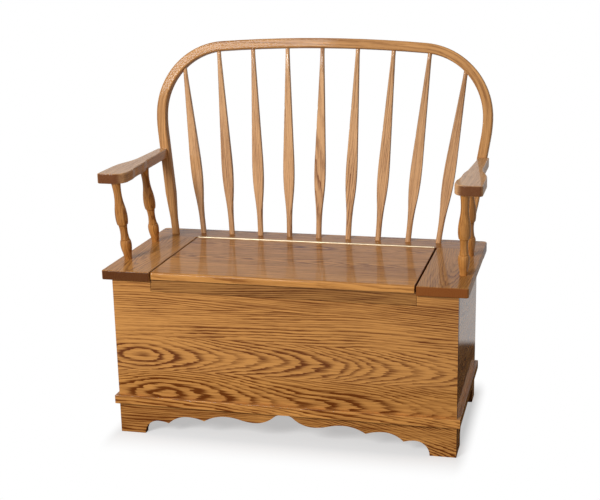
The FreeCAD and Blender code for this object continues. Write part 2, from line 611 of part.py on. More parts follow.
# Lid board with a rounded nose, its front cleat flush with the chest, and two battens
lid = board("lid_board",
            rectangle("-Layout.lid_half", "Layout.lid_half", "Layout.lid_front",
                      "Layout.lid_back"),
            "XY_Plane", "Sizes.lid_board")
ease(lid, lambda edge, middle: edge.BoundBox.XLength > 100
     and middle.z > number("Sizes.lid_board") - 0.1
     and middle.y < number("Layout.lid_front") + 0.1, "Sizes.lid_nose_radius")
ease(lid, lambda edge, middle: edge.BoundBox.YLength > 100
     and middle.z > number("Sizes.lid_board") - 0.1, "Sizes.lid_edge_radius")
place(lid, z="Layout.lid_underside")
lid_cleat = board("lid_front_cleat",
                  rectangle("-Layout.lid_cleat_half", "Layout.lid_cleat_half",
                            "Layout.chest_front", "Layout.inner_front - Sizes.lid_cleat_gap"),
                  "XY_Plane", "Sizes.lid_cleat_height")
place(lid_cleat, z="Layout.lid_underside - Sizes.lid_cleat_height")
pieces += [lid, lid_cleat]
for side, sign in SIDES:
    inner = "%s(Sizes.batten_spacing - Sizes.batten_width) / 2" % sign
    outer = "%s(Sizes.batten_spacing + Sizes.batten_width) / 2" % sign
    start = "Layout.seat_front + Sizes.batten_setback"
    batten = board("lid_batten_" + side,
                   rectangle(inner, outer, start, "%s + Sizes.batten_length" % start),
                   "XY_Plane", "Sizes.batten")
    place(batten, z="Layout.lid_underside - Sizes.batten")
    pieces.append(batten)

# Continuous hinge: two leaves with alternating knuckles round one pin, folded in the seat's gap
knuckle = "Sizes.knuckle_diameter / 2"
bore = "Sizes.pin_diameter / 2 + Sizes.pin_clearance"


def hinge_leaf(label, sign, first, copies):
    """One leaf: a long plate against the wood, and knuckles with tabs every second pitch."""
    leaf = new_body(label)
    face = "%s(%s)" % (sign, knuckle)
    inside = "%s(%s - Sizes.leaf)" % (sign, knuckle)
    plate_top = "-(%s + Sizes.knuckle_gap)" % knuckle
    plate = new_sketch(leaf, "plate", "YZ_Plane")
    draw(plate, rectangle(face, inside, "-Sizes.leaf_height", plate_top))
    pad(leaf, plate, "Layout.hinge_length", both=True)
    start = placement(z="-Layout.hinge_length / 2 + %d * Layout.knuckle_pitch"
                        " + Sizes.knuckle_gap / 2" % first)
    width = "Layout.knuckle_pitch - Sizes.knuckle_gap"
    tab = new_sketch(leaf, "tab", "YZ_Plane", start)
    draw(tab, rectangle(face, inside, "%s - Sizes.leaf" % plate_top, "0"))
    tab_pad = pad(leaf, tab, width)
    barrel = new_sketch(leaf, "barrel", "YZ_Plane", start)
    draw_circle(barrel, "0", "0", knuckle, "outer")
    draw_circle(barrel, "0", "0", bore, "bore")
    barrel_pad = pad(leaf, barrel, width)
    row = leaf.newObject("PartDesign::LinearPattern", label + "_row")
    row.Originals = [tab_pad, barrel_pad]
    row.Direction = (tab, ["N_Axis"])
    row.Occurrences = copies
    row.setExpression("Length", "%d * 2 * Layout.knuckle_pitch" % (copies - 1))
    leaf.Tip = row
    place(leaf, y="Layout.hinge_y", z="Layout.hinge_z")
    return leaf


KNUCKLES = int(number("Sizes.knuckle_count"))
pieces.append(hinge_leaf("hinge_leaf_rail", "", 0, (KNUCKLES + 1) // 2))
pieces.append(hinge_leaf("hinge_leaf_lid", "-", 1, KNUCKLES // 2))
pin = new_body("hinge_pin")
pin_sketch = new_sketch(pin, "round", "YZ_Plane")
draw_circle(pin_sketch, "0", "0", "Sizes.pin_diameter / 2")
pad(pin, pin_sketch, "Layout.hinge_length", both=True)
place(pin, y="Layout.hinge_y", z="Layout.hinge_z")
pieces.append(pin)

# Bow: an eased square section bent along a crown, two shoulders and two splayed legs, which
# taper to round feet; it lies in a plane that leans back from the rail
bow = new_body("bow")
crown_middle = "Sizes.bow_rise - Sizes.bow_section / 2"
splay = "Sizes.leg_splay"
bow_path = new_sketch(bow, "path", "XZ_Plane")
draw(bow_path, [
    ("0", crown_middle),
    ("Layout.crown_end_u", "Layout.crown_end_v", "Layout.crown_radius", -1),
    ("Layout.bow_side_u", "Layout.shoulder_v", "Layout.shoulder_radius", -1),
    ("Layout.hip_end_u", "Layout.hip_end_v", "Layout.hip_radius", -1),
    ("Layout.bow_foot_u + Sizes.taper_start * tan(%s)" % splay, "Sizes.taper_start")],
    closed=False)


def eased_square(middle, side, easing):
    """Corners of a square with rounded corners, about a point on the vertical axis."""
    edge = "(%s) / 2" % side
    flat = "(%s - (%s))" % (edge, easing)
    corners = [("-", flat, "-", edge, True), ("", flat, "-", edge, False),
               ("", edge, "-", flat, True), ("", edge, "", flat, False),
               ("", flat, "", edge, True), ("-", flat, "", edge, False),
               ("-", edge, "", flat, True), ("-", edge, "-", flat, False)]
    return [("%s%s" % (x_sign, x), "(%s) + (%s%s)" % (middle, y_sign, y))
            + ((easing, 1) if arrives_by_arc else ())
            for x_sign, x, y_sign, y, arrives_by_arc in corners]


bow_section = new_sketch(bow, "section", "YZ_Plane")
draw(bow_section, eased_square(crown_middle, "Sizes.bow_section", "Sizes.bow_easing"))
bow_pipe = bow.newObject("PartDesign::AdditivePipe", "bow_bend")
bow_pipe.Profile = bow_section
bow_pipe.Spine = (bow_path, [])


def across_leg(name, height):
    """A sketch square to the right leg, at a height above the rail along the bow's plane."""
    return new_sketch(bow, name, "XY_Plane",
                      placement(x="Layout.bow_foot_u + %s * tan(%s)" % (height, splay),
                                z=height, pitch=splay))


thick = across_leg("thick", "Sizes.taper_start")
draw(thick, eased_square("0", "Sizes.bow_section", "Sizes.bow_easing"))
slim = across_leg("slim", "Sizes.taper_end")
draw(slim, eased_square("0", "Sizes.bow_foot_diameter", "Layout.bow_foot_corner"))
taper = bow.newObject("PartDesign::AdditiveLoft", "bow_taper")
taper.Profile = thick
taper.Sections = [slim]
round_foot = across_leg("round_foot", "Sizes.taper_end")
draw_circle(round_foot, "0", "0", "Sizes.bow_foot_diameter / 2")
foot_pad = pad(bow, round_foot, "Sizes.taper_end / cos(%s) + Sizes.bow_tenon" % splay,
               reverse=True)
bow_mirror = bow.newObject("PartDesign::Mirrored", "bow_mirror")
bow_mirror.Originals = [bow_pipe, taper, foot_pad]
bow_mirror.MirrorPlane = (origin_plane(bow, "YZ_Plane"), [""])
bow.Tip = bow_mirror
place(bow, y="Layout.bow_y", z="Layout.seat_top", roll="-Sizes.back_lean")
bow_tools = [rod("bow_spindle_hole_%d" % (i + 1), "Sizes.spindle_top_diameter / 2",
                 "%s - Sizes.spindle_top_straight" % length, length, frame)
             for i, (frame, length) in enumerate(spindle_lines)]

# Arm dowels run level through the meeting face of arm and bow
dowels = {}
for side, sign in SIDES:
    dowel = new_body("arm_dowel_" + side)
    dowel_sketch = new_sketch(dowel, "round", "XZ_Plane")
    draw_circle(dowel_sketch, "0", "0", "Sizes.arm_dowel_diameter / 2")
    pad(dowel, dowel_sketch, "2 * Sizes.arm_dowel_depth", both=True)
    place(dowel, x=sign + "Layout.arm_dowel_u", y="Layout.bow_face_y", z="Layout.arm_middle")
    dowels[side] = dowel
pieces.append(drill("bow", bow, bow_tools + list(dowels.values())))
pieces += dowels.values()

# Spindles: turned with a long swell, then planed flat front and back; straight ends are glued
# into the rail below and the bow above
radius = {name: "Sizes.spindle_%s_diameter / 2" % name
          for name in ("foot", "top", "swell", "shoulder")}
swell_z = "Sizes.spindle_swell_height"
shoulder_z = "%s + Sizes.spindle_shoulder_rise" % swell_z
foot_straight = "Sizes.spindle_foot_straight"
growth = reverse_arc("%s - %s" % (swell_z, foot_straight),
                     "%s - %s" % (radius["swell"], radius["foot"]))
turn_in = level_arc("Sizes.spindle_shoulder_rise",
                    "%s - %s" % (radius["swell"], radius["shoulder"]))
thin = "Sizes.spindle_thickness / 2"
deep = "Sizes.spindle_swell_diameter"
for i, (frame, length) in enumerate(spindle_lines):
    spindle = new_body("spindle_%d" % (i + 1))
    profile = new_sketch(spindle, "profile", "XZ_Plane")
    top_straight = "%s - Sizes.spindle_top_straight" % length
    draw(profile, [
        ("0", "-Sizes.spindle_tenon"), (radius["foot"], "-Sizes.spindle_tenon"),
        (radius["foot"], foot_straight),
        ("(%s + %s) / 2" % (radius["swell"], radius["foot"]),
         "(%s + %s) / 2" % (swell_z, foot_straight), growth, -1),
        (radius["swell"], swell_z, growth, 1),
        (radius["shoulder"], shoulder_z, turn_in, 1),
        (radius["top"], top_straight), (radius["top"], length), ("0", length)])
    turn_on_axis(spindle, profile)
    flats = new_sketch(spindle, "flats", "YZ_Plane")
    planed = [(radius["foot"], foot_straight), (thin, "Sizes.spindle_flat_start"),
              (thin, shoulder_z), (radius["top"], top_straight), (deep, top_straight),
              (deep, foot_straight)]
    draw(flats, planed, tag="back")
    draw(flats, mirrored(planed), tag="front")
    plane = spindle.newObject("PartDesign::Pocket", "spindle_%d_planed" % (i + 1))
    plane.Profile = flats
    plane.Midplane = True
    plane.setExpression("Length", "2 * " + deep)
    x, y, z, pitch, roll = frame
    place(spindle, x=x, y=y, z=z, pitch=pitch, roll=roll)
    pieces.append(spindle)

# Arms: a wide paddle in front drawn in to a narrow neck, cut to the lean of the bow
y_of = {name: "(Layout.seat_front + Sizes.arm_%s)" % name
        for name in ("curve_start", "curve_end", "inner_start", "inner_end")}
outer_ogee = reverse_arc("Sizes.arm_curve_end - Sizes.arm_curve_start",
                         "Layout.arm_outer - Layout.arm_rear_outer")
inner_ogee = reverse_arc("Sizes.arm_inner_end - Sizes.arm_inner_start",
                         "Layout.arm_waist_inner - Layout.arm_inner")
small = "Sizes.arm_corner_radius"
large = "Sizes.arm_inner_radius"
arm_outline = [
    ("Layout.arm_inner + " + large, "Layout.arm_front", large, 1),
    ("Layout.arm_outer - " + small, "Layout.arm_front"),
    ("Layout.arm_outer", "Layout.arm_front + " + small, small, 1),
    ("Layout.arm_outer", y_of["curve_start"]),
    ("(Layout.arm_outer + Layout.arm_rear_outer) / 2",
     "(%s + %s) / 2" % (y_of["curve_start"], y_of["curve_end"]), outer_ogee, 1),
    ("Layout.arm_rear_outer", y_of["curve_end"], outer_ogee, -1),
    ("Layout.arm_rear_outer", "Layout.arm_back"), ("Layout.arm_rear_inner", "Layout.arm_back"),
    ("Layout.arm_waist_inner", y_of["inner_end"]),
    ("(Layout.arm_inner + Layout.arm_waist_inner) / 2",
     "(%s + %s) / 2" % (y_of["inner_start"], y_of["inner_end"]), inner_ogee, 1),
    ("Layout.arm_inner", y_of["inner_start"], inner_ogee, -1),
    ("Layout.arm_inner", "Layout.arm_front + " + large)]
for side, outline in (("left", mirrored(arm_outline)), ("right", arm_outline)):
    arm = board("arm_" + side, outline, "XY_Plane", "Sizes.arm_board")
    ease(arm, lambda edge, middle: edge.BoundBox.ZLength < 0.1
         and middle.y < number("Layout.arm_back") - 0.1, "Sizes.arm_easing")
    place(arm, z="Layout.arm_underside")
    behind = doc.addObject("Part::Box", "arm_%s_trim" % side)
    behind.setExpression("Length", "2 * Layout.arm_outer")
    behind.setExpression("Width", "2 * Sizes.bow_section")
    behind.setExpression("Height", "2 * Sizes.arm_rise")
    place(behind, x="-Layout.arm_outer",
          y="Layout.bow_y - Sizes.bow_section / 2 / cos(Sizes.back_lean)",
          z="Layout.seat_top", roll="-Sizes.back_lean")
    pair = [post_lines[where, side] for where in ("front", "rear")]
    pieces.append(drill("arm_" + side, arm,
                        [behind, dowels[side]] + post_holes("arm_" + side, pair, False)))

# Arm posts: turned with a low vase, a cove between two rings and a tall vase under the arm
r = {name: "Sizes.post_%s_diameter / 2" % name
     for name in ("foot", "tenon", "low_vase", "low_ring", "groove", "cove", "high_ring",
                  "vase", "neck", "top")}
for (where, side), (frame, length) in post_lines.items():
    post = new_body("arm_post_%s_%s" % (where, side))
    profile = new_sketch(post, "profile", "XZ_Plane")
    low_vase, low_ring = "Sizes.post_low_vase_height", "Sizes.post_low_ring_height"
    high_ring, vase, neck = ["(%s - Sizes.post_%s_drop)" % (length, name)
                             for name in ("high_ring", "vase", "neck")]
    groove = "Sizes.post_groove_width"
    foot_curve = reverse_arc(low_vase, "%s - %s" % (r["low_vase"], r["foot"]))
    vase_curve = reverse_arc("%s - %s" % (neck, vase), "%s - %s" % (r["vase"], r["neck"]))
    housing = "%s + Sizes.post_housing" % length
    draw(profile, [
        ("0", "-Sizes.post_tenon"), (r["tenon"], "-Sizes.post_tenon"),
        (r["tenon"], "-Sizes.post_housing"), (r["foot"], "-Sizes.post_housing"),
        (r["foot"], "0"),
        ("(%s + %s) / 2" % (r["low_vase"], r["foot"]), low_vase + " / 2", foot_curve, -1),
        (r["low_vase"], low_vase, foot_curve, 1),
        (r["low_ring"], low_ring,
         level_arc("%s - %s" % (low_ring, low_vase),
                   "%s - %s" % (r["low_vase"], r["low_ring"])), 1),
        (r["groove"], "%s + %s / 2" % (low_ring, groove)),
        (r["cove"], "%s + %s" % (low_ring, groove)),
        (r["cove"], "%s - %s" % (high_ring, groove), "Sizes.post_cove_radius", -1),
        (r["groove"], "%s - %s / 2" % (high_ring, groove)),
        (r["high_ring"], high_ring),
        (r["vase"], vase,
         level_arc("%s - %s" % (vase, high_ring), "%s - %s" % (r["vase"], r["high_ring"])), 1),
        ("(%s + %s) / 2" % (r["vase"], r["neck"]), "(%s + %s) / 2" % (vase, neck),
         vase_curve, 1),
        (r["neck"], neck, vase_curve, -1),
        (r["top"], housing,
         level_arc("%s - %s" % (housing, neck), "%s - %s" % (r["top"], r["neck"])), -1),
        (r["tenon"], housing), (r["tenon"], "%s + Sizes.post_tenon" % length),
        ("0", "%s + Sizes.post_tenon" % length)])
    turn_on_axis(post, profile)
    x, y, z, pitch, roll = frame
    place(post, x=x, y=y, z=z, pitch=pitch, roll=roll)
    pieces.append(post)

doc.recompute()

# Every object must be sound before anything is written
for item in doc.Objects:
    if "Invalid" in item.State or "Error" in item.State:
        raise RuntimeError("%s is in state %s" % (item.Label, item.State))
for piece in pieces:
    shape = piece.Shape
    if shape.isNull() or not shape.isValid() or not shape.Solids:
        raise RuntimeError("%s has no sound solid" % piece.Label)
    shape.exportStep("parts/%s.step" % piece.Label)
print("pieces:", len(pieces))
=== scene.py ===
"""Deacon's bench in stained and lacquered red oak, dressed on its CAD solids."""
import math

import bpy
from mathutils import Matrix, Vector


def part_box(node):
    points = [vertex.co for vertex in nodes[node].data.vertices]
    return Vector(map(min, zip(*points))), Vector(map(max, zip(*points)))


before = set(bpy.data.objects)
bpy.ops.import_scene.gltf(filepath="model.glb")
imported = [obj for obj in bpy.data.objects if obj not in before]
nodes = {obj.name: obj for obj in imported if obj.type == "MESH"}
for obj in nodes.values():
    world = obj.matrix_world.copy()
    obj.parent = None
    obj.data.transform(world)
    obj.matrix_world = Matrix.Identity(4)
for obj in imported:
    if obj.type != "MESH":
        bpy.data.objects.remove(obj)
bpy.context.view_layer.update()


# Chest front. One wide board glued up from five flat-sawn red oak staves, stained golden brown
# and sprayed with a gloss lacquer. Its lower edge is sawn to a scalloped outline between the feet.

class Value:
    """One output of a material's nodes. Arithmetic on it adds Math nodes."""

    def __init__(self, finish, socket):
        self.finish = finish
        self.socket = socket

    def math(self, operation, *others, clamp=False):
        settings = {"operation": operation, "use_clamp": clamp}
        return self.finish.node("ShaderNodeMath", settings, self, *others)

    def __add__(self, other):
        return self.math("ADD", other)

    def __sub__(self, other):
        return self.math("SUBTRACT", other)

    def __rsub__(self, other):
        return self.finish.node("ShaderNodeMath", {"operation": "SUBTRACT"}, other, self)

    def __mul__(self, other):
        return self.math("MULTIPLY", other)

    def __truediv__(self, other):
        return self.math("DIVIDE", other)

    def __pow__(self, other):
        return self.math("POWER", other)

    __radd__ = __add__
    __rmul__ = __mul__

    def ramp(self, low, high, start=0.0, end=1.0):
        """Run smoothly from start to end while the value runs from low to high."""
        return self.finish.node("ShaderNodeMapRange", {"interpolation_type": "SMOOTHSTEP"},
                                self, low, high, start, end)


class Finish:
    """A material that is being mixed: it adds nodes and joins them to sockets."""

    def __init__(self, name):
        self.material = bpy.data.materials.new(name)
        self.material.use_nodes = True
        self.tree = self.material.node_tree
        self.shader = self.tree.nodes["Principled BSDF"]

    def node(self, kind, settings, *values, output=0, **named):
        made = self.tree.nodes.new(kind)
        for key, setting in settings.items():
            setattr(made, key, setting)
        sockets = [(made.inputs[i], value) for i, value in enumerate(values)]
        sockets += [(made.inputs[key.replace("_", " ")], value) for key, value in named.items()]
        for socket, value in sockets:
            self.feed(socket, value)
        return Value(self, made.outputs[output])

    def feed(self, socket, value):
        if isinstance(value, Value):
            self.tree.links.new(value.socket, socket)
        else:
            socket.default_value = value

    def mix(self, share, first, second):
        """A colour between two colours."""
        made = self.node("ShaderNodeMix", {"data_type": "RGBA"}, share, output=2)
        inputs = made.socket.node.inputs
        self.feed(inputs[6], first)
        self.feed(inputs[7], second)
        return made

    def noise(self, x, y, z, detail=2.0, roughness=0.5):
        place = self.node("ShaderNodeCombineXYZ", {}, x, y, z)
        return self.node("ShaderNodeTexNoise", {}, Vector=place, Scale=1.0, Detail=detail,
                         Roughness=roughness)


SCREEN_LEVELS, SCREEN_GAMMA = 255, 2.2


def stain(red, green, blue):
    """A colour as a screen shows it, made linear."""
    return tuple((c / SCREEN_LEVELS) ** SCREEN_GAMMA for c in (red, green, blue)) + (1.0,)


LIGHT_OAK = (208, 145, 78)
PALE_OAK = (212, 162, 112)
BENT_OAK = (212, 156, 98)
DARK_OAK = (108, 57, 20)
END_GRAIN = (92, 46, 16)

# Figure of the oak, each as features per metre along and across the grain
DRIFT = (3.1, 11.0)
RIPPLE = (14.0, 70.0)
COMB = (9.0, 190.0)
PATCH = (3.3, 14.0)
PORES = (45.0, 1700.0)
CLOUD = (1.7, 7.0)
STREAK = (7.0, 180.0)

# Growth rings: the sway of a stave's pith, the waves in the rings, and their uneven widths
TURN_ROUNDING = 0.04
SWAY_ALONG, SWAY_OF_STAVE, SWAY = 13.0, 2.0, 0.02
RIPPLE_DEPTH = 0.0030
WIDTH_CHANGE, WIDTH_SPREAD = 0.33, 1.6
EDGE_SAWN, FLAT_SAWN = 0.25, 0.85
COMB_ON_EDGE, COMB_ON_FLAT = 0.30, 0.75
EARLY_START, EARLY_FULL, EARLY_FADE, EARLY_END = 0.0, 0.10, 0.14, 0.66
STRENGTH_CHANGE, STRENGTH_SEED = 0.21, 7.0
WEAK_BELOW, STRONG_ABOVE, WEAKEST_RING = 0.3, 0.7, 0.50
PATCH_START, PATCH_END = 0.36, 0.58
PORE_START, PORE_END, PORE_EVERYWHERE, PORE_IN_RING = 0.52, 0.70, 0.35, 0.65

# How far each part of the figure darkens the stain
RING_ON_EDGE, RING_ON_FLAT = 0.84, 0.34
PATCH_LOW, PATCH_MORE = 0.40, 0.66
PORE_DARK, CLOUD_DARK, TINT_DARK, BASE_DARK = 0.34, 0.7, 0.16, 0.19
STREAK_LEAST, STREAK_MORE = 0.9, 0.9
TINT_STEP, TINT_START, TINT_BY_PITH = 5.3, 1.7, 40

# Lacquer over open pores
DULL, PORE_DULL = 0.42, 0.25
PORE_BUMP, PORE_DEPTH, RING_DEPTH = 0.16, 0.0004, 0.25
BARE_GLOSS, COAT_ROUGHNESS, COAT_IOR = 0.06, 0.07, 1.5


def oak(wood, along, across, depth, staves, ring=0.0055, tone=1.0, gloss=0.35, bold=1.0,
        end=None, body=LIGHT_OAK):
    """Red oak with its growth rings cut by the faces of the piece, and a gloss lacquer.

    Each stave is (upper edge, pith across, pith depth, taper, lean, turning point, waviness),
    in metres, with the upper edge measured across the grain. The rings are cones round the
    pith, so that they meet a flat-sawn face as nested arches.
    """
    def figure(density, detail, roughness=0.5):
        lengthwise, crosswise = density
        return wood.noise(along * lengthwise, across * crosswise, depth * crosswise,
                          detail=detail, roughness=roughness)

    drift = figure(DRIFT, 1.0) - 0.5
    ripple = figure(RIPPLE, 2.0) - 0.5
    comb = figure(COMB, 2.0, roughness=0.7)
    field, tint, flat, last_edge = None, None, None, None
    for i, (edge, pith_y, pith_z, taper, lean, turn, wave) in enumerate(staves):
        y = across - pith_y + drift * wave
        z = depth - pith_z
        reach = (y * y + z * z) ** 0.5
        run = along - turn
        slope = (run * run + TURN_ROUNDING ** 2) ** 0.5 * taper + run * lean
        sway = (along * SWAY_ALONG + SWAY_OF_STAVE * i).math("SINE") * (abs(taper) * SWAY)
        rings = reach + slope + sway
        face = (z.math("ABSOLUTE") / reach).ramp(EDGE_SAWN, FLAT_SAWN)
        shade = math.sin(TINT_STEP * i + TINT_START + TINT_BY_PITH * staves[0][1])
        shade = 0.5 + 0.5 * shade
        if field is None:
            field, flat = rings, face
            tint = wood.node("ShaderNodeMath", {"operation": "ADD"}, shade, 0.0)
        else:
            past = across.math("GREATER_THAN", last_edge)
            field = field + (rings - field) * past
            flat = flat + (face - flat) * past
            tint = tint + (shade - tint) * past
        last_edge = edge
    count = (field + ripple * RIPPLE_DEPTH) / ring
    count = count + wood.noise(count * WIDTH_CHANGE, 0.0, 0.0, detail=0.0) * WIDTH_SPREAD
    count = count + (comb - 0.5) * (COMB_ON_EDGE + flat * COMB_ON_FLAT)
    part = count.math("FRACT")
    early = part.ramp(EARLY_START, EARLY_FULL) * part.ramp(EARLY_FADE, EARLY_END, 1.0, 0.0)
    strength = wood.noise(count * STRENGTH_CHANGE, STRENGTH_SEED, 0.0, detail=0.0)
    strength = strength.ramp(WEAK_BELOW, STRONG_ABOVE, WEAKEST_RING, 1.0)
    patch = figure(PATCH, 2.0).ramp(PATCH_START, PATCH_END)
    strength = strength * (PATCH_LOW + patch * PATCH_MORE)
    pores = figure(PORES, 1.0).ramp(PORE_START, PORE_END)
    pores = pores * (PORE_EVERYWHERE + early * PORE_IN_RING)
    cloud = figure(CLOUD, 1.0)
    streak = figure(STREAK, 3.0, roughness=0.7)
    dark = early * strength * (RING_ON_EDGE + flat * RING_ON_FLAT) * bold + pores * PORE_DARK
    dark = dark + (streak - 0.5) * (STREAK_LEAST + STREAK_MORE * bold) + BASE_DARK
    dark = dark + (cloud - 0.5) * CLOUD_DARK + (tint - 0.5) * TINT_DARK
    dark = dark.math("MULTIPLY", 1.0, clamp=True)
    light = stain(*[min(SCREEN_LEVELS, c * tone) for c in body])
    deep = stain(*[c * tone for c in DARK_OAK])
    colour = wood.mix(dark, light, deep)
    if end is not None:
        colour = wood.mix(end[0], colour, end[1])
    wood.feed(wood.shader.inputs["Base Color"], colour)
    wood.feed(wood.shader.inputs["Roughness"], DULL + pores * PORE_DULL)
    bump = wood.node("ShaderNodeBump", {}, Strength=PORE_BUMP, Distance=PORE_DEPTH,
                     Height=1.0 - pores - early * RING_DEPTH)
    wood.feed(wood.shader.inputs["Normal"], bump)
    wood.feed(wood.shader.inputs["Specular IOR Level"], BARE_GLOSS)
    wood.feed(wood.shader.inputs["Coat Weight"], gloss)
    wood.feed(wood.shader.inputs["Coat Roughness"], COAT_ROUGHNESS)
    wood.feed(wood.shader.inputs["Coat IOR"], COAT_IOR)
    return wood.material


GRAIN_AXES = {"x": (0, 2, 1), "y": (1, 0, 2), "z": (2, 0, 1), "x_flat": (0, 1, 2),
              "y_side": (1, 2, 0)}
END_START, END_FULL, END_SHARE = 0.55, 0.95, 0.88


def plank(name, grain, staves, end_grain=END_GRAIN, **look):
    """Oak with straight grain along one axis. Faces across that axis show dark end grain."""
    wood = Finish(name)
    spot = wood.node("ShaderNodeTexCoord", {}, output=3)
    axes = [wood.node("ShaderNodeSeparateXYZ", {}, spot, output=i) for i in range(3)]
    if grain == "y_side":
        axes[0] = axes[0].math("ABSOLUTE")
    normal = wood.node("ShaderNodeTexCoord", {}, output=1)
    facing = wood.node("ShaderNodeSeparateXYZ", {}, normal, output=GRAIN_AXES[grain][0])
    end = facing.math("ABSOLUTE").ramp(END_START, END_FULL, 0.0, END_SHARE)
    return oak(wood, *[axes[i] for i in GRAIN_AXES[grain]], staves,
               end=(end, stain(*end_grain)), **look)


def dress(names, material):
    """Give these CAD nodes one material."""
    for name in names:
        nodes[name].data.materials.clear()
        nodes[name].data.materials.append(material)


FRONT_STAVES = [
    (0.089, -0.030, -0.200, 0.100, 0.100, 0.08, 0.012),
    (0.186, 0.118, -0.2075, 0.080, 0.0, -0.33, 0.024),
    (0.280, 0.228, -0.2105, 0.105, 0.0, -0.38, 0.014),
    (0.366, 0.246, -0.200, 0.030, 0.0, 0.20, 0.020),
    (0.432, 0.300, -0.225, 0.045, 0.0, -0.40, 0.012)]
dress(["front_panel"], plank("front_oak", "x", FRONT_STAVES, tone=0.97))

# Chest sides, back and floor. The same oak, with the grain level; the side boards run from
# front to back, and the floor is a thin board that lies on cleats screwed round the inside.
SIDE_STAVES = [
    (0.14, 0.05, 0.43, 0.05, 0.0, 0.3, 0.01),
    (0.29, 0.20, 0.44, 0.07, 0.0, -0.2, 0.01),
    (0.44, 0.36, 0.42, 0.05, 0.0, 0.1, 0.01)]
BACK_STAVES = [
    (0.12, 0.06, 0.16, 0.05, 0.0, 0.3, 0.01),
    (0.25, 0.20, 0.16, 0.07, 0.0, -0.3, 0.01),
    (0.44, 0.33, 0.15, 0.05, 0.0, 0.1, 0.01)]
FLOOR_STAVES = [
    (-0.12, -0.2, 0.09, 0.05, 0.0, 0.3, 0.01),
    (0.02, -0.05, 0.10, 0.06, 0.0, -0.3, 0.01),
    (0.2, 0.08, 0.09, 0.05, 0.0, 0.1, 0.01)]
dress(["side_panel_left", "side_panel_right"],
      plank("side_oak", "y_side", SIDE_STAVES, tone=1.16, gloss=0.85))
dress(["back_panel"], plank("back_oak", "x", BACK_STAVES))
dress(["floor_panel", "floor_cleat_front", "floor_cleat_back"],
      plank("floor_oak", "x_flat", FLOOR_STAVES, tone=1.02, gloss=0.2))
CLEAT_STAVE = (0.5, 0.1, 0.3, 0.02, 0.0, 0.0, 0.01)
BLOCK_STAVE = (0.5, 0.3, -0.1, 0.02, 0.0, 0.0, 0.01)
dress(["floor_cleat_left", "floor_cleat_right", "seat_bearer_left", "seat_bearer_right",
       "lid_rest_left", "lid_rest_right"],
      plank("cleat_oak", "y", [CLEAT_STAVE], gloss=0.2))
dress(["corner_block_left", "corner_block_right"],
      plank("block_oak", "z", [BLOCK_STAVE], gloss=0.2))

# Base moulding. Three square strips with eased edges, mitred at the front corners and pinned
# over the chest just above its feet. They are stained with it.
FRONT_STRIP = (0.2, 0.060, -0.225, 0.07, 0.0, -0.42, 0.01)
SIDE_STRIP = (0.2, 0.02, 0.50, 0.02, 0.0, 0.4, 0.01)
dress(["moulding_front"], plank("moulding_front_oak", "x", [FRONT_STRIP], tone=1.03))
dress(["moulding_left", "moulding_right"],
      plank("moulding_side_oak", "y_side", [SIDE_STRIP], tone=0.93))

# Seat. Two end boards with the grain front to back, and a rear rail with the grain side to side,
# glued and planed flush. Their front ends are end grain and took the stain dark.
LEFT_END_STAVE = (0.0, -0.415, 0.435, 0.07, 0.0, 0.3, 0.01)
RIGHT_END_STAVE = (1.0, 0.425, 0.437, 0.09, 0.0, 0.3, 0.01)
RAIL_STAVE = (1.0, 0.20, 0.42, 0.03, 0.0, 0.1, 0.01)
dress(["seat_end_left"], plank("seat_end_left_oak", "y", [LEFT_END_STAVE], tone=0.95,
                               end_grain=(68, 28, 4), gloss=0.22, bold=0.5))
dress(["seat_end_right"], plank("seat_end_right_oak", "y", [RIGHT_END_STAVE], tone=0.90,
                                end_grain=(128, 70, 28), gloss=0.22, bold=0.45))
dress(["rear_rail"], plank("rail_oak", "x_flat", [RAIL_STAVE], tone=0.94, gloss=0.32))

# Lid. A board glued up from three staves with its grain side to side, a cleat under its front
# edge that closes the notch in the chest, and two battens that keep it flat.
LID_STAVES = [
    (-0.15, -0.42, 0.41, 0.03, 0.0, -0.5, 0.01),
    (-0.02, -0.09, 0.42, 0.07, 0.0, 0.4, 0.01),
    (0.2, 0.05, 0.42, 0.09, 0.0, -0.3, 0.01)]
dress(["lid_board"], plank("lid_oak", "x_flat", LID_STAVES, tone=1.0, gloss=0.22, bold=0.7))
LID_CLEAT_STAVE = (1.0, 0.34, -0.225, 0.05, 0.0, 0.1, 0.01)
BATTEN_STAVE = (1.0, 0.1, 0.35, 0.02, 0.0, 0.0, 0.01)
# The cleat is stained darker than the lid (tone 0.84): partly its own tone, and partly painted
# shade from the lid's nose above it.
dress(["lid_front_cleat"], plank("lid_cleat_oak", "x", [LID_CLEAT_STAVE], tone=0.84))
dress(["lid_batten_left", "lid_batten_right"],
      plank("batten_oak", "y", [BATTEN_STAVE], gloss=0.3))

# Hinge. A continuous hinge of brass-plated steel: two thin leaves with rolled knuckles
# round one pin, screwed to the lid's rear edge and to the front of the rear rail.
BRIGHT_BRASS = (212, 196, 168)
WORN_BRASS = (172, 152, 122)
SMEAR_SCALE, POLISHED, SMEARED = 60.0, 0.32, 0.2
brass = Finish("hinge_brass")
spot = brass.node("ShaderNodeTexCoord", {}, output=3)
smear = brass.node("ShaderNodeTexNoise", {}, Vector=spot, Scale=SMEAR_SCALE, Detail=3.0)
brass.feed(brass.shader.inputs["Base Color"],
           brass.mix(smear, stain(*BRIGHT_BRASS), stain(*WORN_BRASS)))
brass.feed(brass.shader.inputs["Metallic"], 1.0)
brass.feed(brass.shader.inputs["Roughness"], smear * SMEARED + POLISHED)
dress(["hinge_leaf_rail", "hinge_leaf_lid", "hinge_pin"], brass.material)

